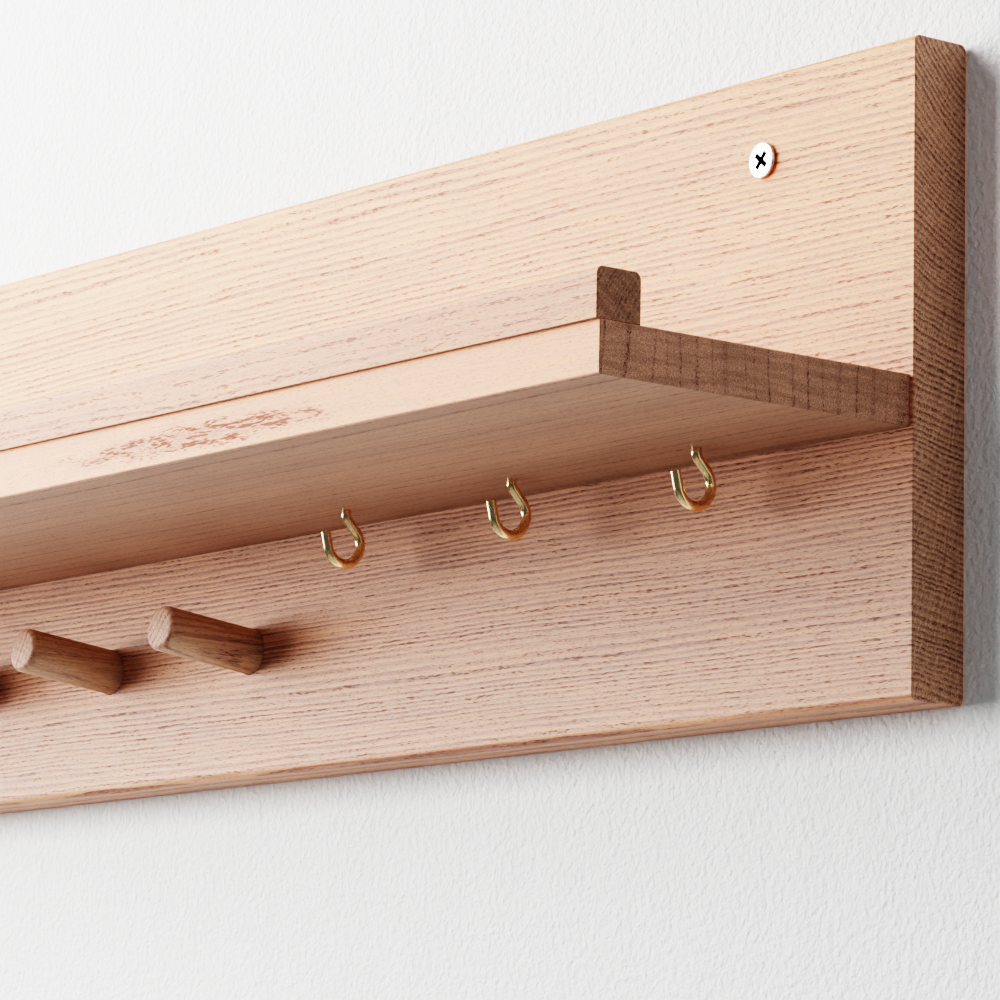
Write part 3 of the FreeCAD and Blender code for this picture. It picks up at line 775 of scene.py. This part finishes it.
def make_camera():
    """A long lens below the rack's right end, looking up along it."""
    place = Vector((1.3326, -0.9096, -0.2494))
    yaw, pitch, roll = math.radians(-51.53), math.radians(9.2), math.radians(1.15)
    ahead = Vector((math.sin(yaw) * math.cos(pitch), math.cos(yaw) * math.cos(pitch), math.sin(pitch)))
    level = Vector((math.cos(yaw), -math.sin(yaw), 0.0))
    upright = level.cross(ahead)
    right = level * math.cos(roll) + upright * math.sin(roll)
    up = upright * math.cos(roll) - level * math.sin(roll)
    camera = bpy.data.cameras.new("camera")
    camera.sensor_width, camera.lens = 36.0, 168.31
    camera.clip_start, camera.clip_end = 0.05, 50.0
    holder = bpy.data.objects.new("camera", camera)
    holder.matrix_world = Matrix.Translation(place) @ Matrix((right, up, -ahead)).transposed().to_4x4()
    bpy.context.scene.collection.objects.link(holder)
    bpy.context.scene.camera = holder


# ---------------------------------------------------------------- operators


class RACK_OT_boards(bpy.types.Operator):
    """Finishes the backboard, the shelf and its lip in satin oak"""

    bl_idname = "rack.finish_boards"
    bl_label = "Finish boards"

    def execute(self, context):
        look = context.scene.rack_oak
        # The backboard's faces below the shelf take the painted shade of its lower cast.
        board = oak_material("board", look.board_rings, (0.0, 0.03, 0.125), band=1.35)
        dress_node("backboard", board)
        patch = ((0.212, -0.133, -0.0115), (0.072, 0.012, 0.0045))
        # The shelf's underside, below its span, takes the painted shade of its lower cast.
        shelf = oak_material(
            "shelf", look.shelf_rings, (0.12, 0.62, -0.021), band=0.6, pores=0.95, patch=patch,
            span=(-0.0179, -0.0170),
        )
        dress_node("shelf", shelf)
        # The lip's strip along its foot, below its span, takes the painted shade of its lower cast.
        lip = oak_material(
            "lip", look.lip_rings, (-0.3, -0.42, 0.19), band=0.6, pores=0.8, span=(-0.00296, -0.00262),
        )
        dress_node("lip", lip)
        return {"FINISHED"}


class RACK_OT_pegs(bpy.types.Operator):
    """Makes the six turned coat pegs"""

    bl_idname = "rack.make_pegs"
    bl_label = "Make pegs"

    def execute(self, context):
        sizes, look = context.scene.rack_pegs, context.scene.rack_oak
        turn = (-sizes.tilt, 0.0, math.radians(90))
        oak = oak_material("peg", look.peg_rings, (0.21, -0.02, -0.16), turn=turn, band=0.7, pores=0.8)
        for node in PEGS:
            bm = peg_mesh(sizes, middle_x(node))
            finished(f"coat_{node}", bm, [node], oak)
        return {"FINISHED"}


class RACK_OT_hooks(bpy.types.Operator):
    """Makes the three brass wire hooks under the shelf"""

    bl_idname = "rack.make_hooks"
    bl_label = "Make key hooks"

    def execute(self, context):
        sizes = context.scene.rack_hooks
        brass = metal("polished brass", sizes.brass, 0.18, (0.5, 1.2, 1.2), 0.82)
        for node in HOOKS:
            finished(f"key_{node}", hook_mesh(sizes, node), [node], brass)
        return {"FINISHED"}


class RACK_OT_screws(bpy.types.Operator):
    """Makes the two wall screws and the four screws that hold the shelf"""

    bl_idname = "rack.make_screws"
    bl_label = "Make screws"

    def execute(self, context):
        sizes = context.scene.rack_screws
        zinc = metal("bright zinc", sizes.zinc, 0.24, (0.4, 0.4, 0.4), 0.86)
        for node, (name, spin) in WALL_SCREWS.items():
            bm = screw_mesh(sizes, **WALL_SCREW_SIZES)
            stand_screw(bm, node, False, spin)
            finished(name, bm, [node], zinc)
        for node, (name, spin) in SHELF_SCREWS.items():
            bm = screw_mesh(sizes, **SHELF_SCREW_SIZES)
            stand_screw(bm, node, True, spin)
            finished(name, bm, [node], zinc)
        return {"FINISHED"}


class RACK_OT_dowels(bpy.types.Operator):
    """Finishes the hidden beech dowels"""

    bl_idname = "rack.finish_dowels"
    bl_label = "Finish dowels"

    def execute(self, context):
        beech = beech_material()
        for node in DOWELS:
            dress_node(node, beech)
        return {"FINISHED"}


class RACK_OT_room(bpy.types.Operator):
    """Makes the wall, the floor, the lights and the camera"""

    bl_idname = "rack.make_room"
    bl_label = "Make room"

    def execute(self, context):
        room = context.scene.rack_room
        upright = Matrix.Translation((0, 0.3 * MM, 0.6)) @ Matrix.Rotation(math.radians(90), 4, "X")
        wall = stage_plane("wall", upright, 2.2, wall_material(room.wall))
        wall.visible_shadow = False
        stage_plane("floor", Matrix.Translation((0, -1.9, -1.5)), 2.2, floor_material(room.floor))
        area_light("key light", (-0.75, -0.78, 0.40), (0.2, 0.0, 0.0), 1.35, 1.25, room.key)
        area_light("side light", (2.2, -1.2, 0.8), (0.4, 0.0, 0.0), 1.6, 1.6, room.side)
        area_light("back light", (0.0, 1.6, 0.02), (0.0, 0.0, 0.0), 0.7, 0.12, 8.0)
        room_light(room.fill)
        make_camera()
        context.scene.view_settings.view_transform = "Filmic"
        context.scene.view_settings.look = "Very High Contrast"
        return {"FINISHED"}


class RACK_PT_panel(bpy.types.Panel):
    """The rack's settings and the buttons that make it"""

    bl_idname = "RACK_PT_panel"
    bl_label = "Oak wall rack"
    bl_space_type = "VIEW_3D"
    bl_region_type = "UI"
    bl_category = "Rack"

    def draw(self, context):
        for settings, buttons in PANEL_ROWS:
            box = self.layout.box()
            group = getattr(context.scene, settings)
            for name in group.bl_rna.properties.keys():
                if name not in ("rna_type", "name"):
                    box.prop(group, name)
            for button in buttons:
                box.operator(button)


PANEL_ROWS = (
    ("rack_oak", ("rack.finish_boards", "rack.finish_dowels")),
    ("rack_pegs", ("rack.make_pegs",)),
    ("rack_hooks", ("rack.make_hooks",)),
    ("rack_screws", ("rack.make_screws",)),
    ("rack_room", ("rack.make_room",)),
)
GROUPS = {
    "rack_oak": OakSettings,
    "rack_pegs": PegSettings,
    "rack_hooks": HookSettings,
    "rack_screws": ScrewSettings,
    "rack_room": RoomSettings,
}
CLASSES = (
    RACK_OT_boards, RACK_OT_pegs, RACK_OT_hooks, RACK_OT_screws, RACK_OT_dowels, RACK_OT_room,
    RACK_PT_panel,
)


def register():
    """Adds the settings, the operators and the panel."""
    for name, group in GROUPS.items():
        bpy.utils.register_class(group)
        setattr(bpy.types.Scene, name, bpy.props.PointerProperty(type=group))
    for made in CLASSES:
        bpy.utils.register_class(made)


def unregister():
    """Takes them out again."""
    for made in reversed(CLASSES):
        bpy.utils.unregister_class(made)
    for name, group in GROUPS.items():
        delattr(bpy.types.Scene, name)
        bpy.utils.unregister_class(group)


def main():
    """Makes the whole rack and its room."""
    register()
    bpy.ops.rack.finish_boards()
    bpy.ops.rack.make_pegs()
    bpy.ops.rack.make_hooks()
    bpy.ops.rack.make_screws()
    bpy.ops.rack.finish_dowels()
    bpy.ops.rack.make_room()


if __name__ == "__main__":
    main()
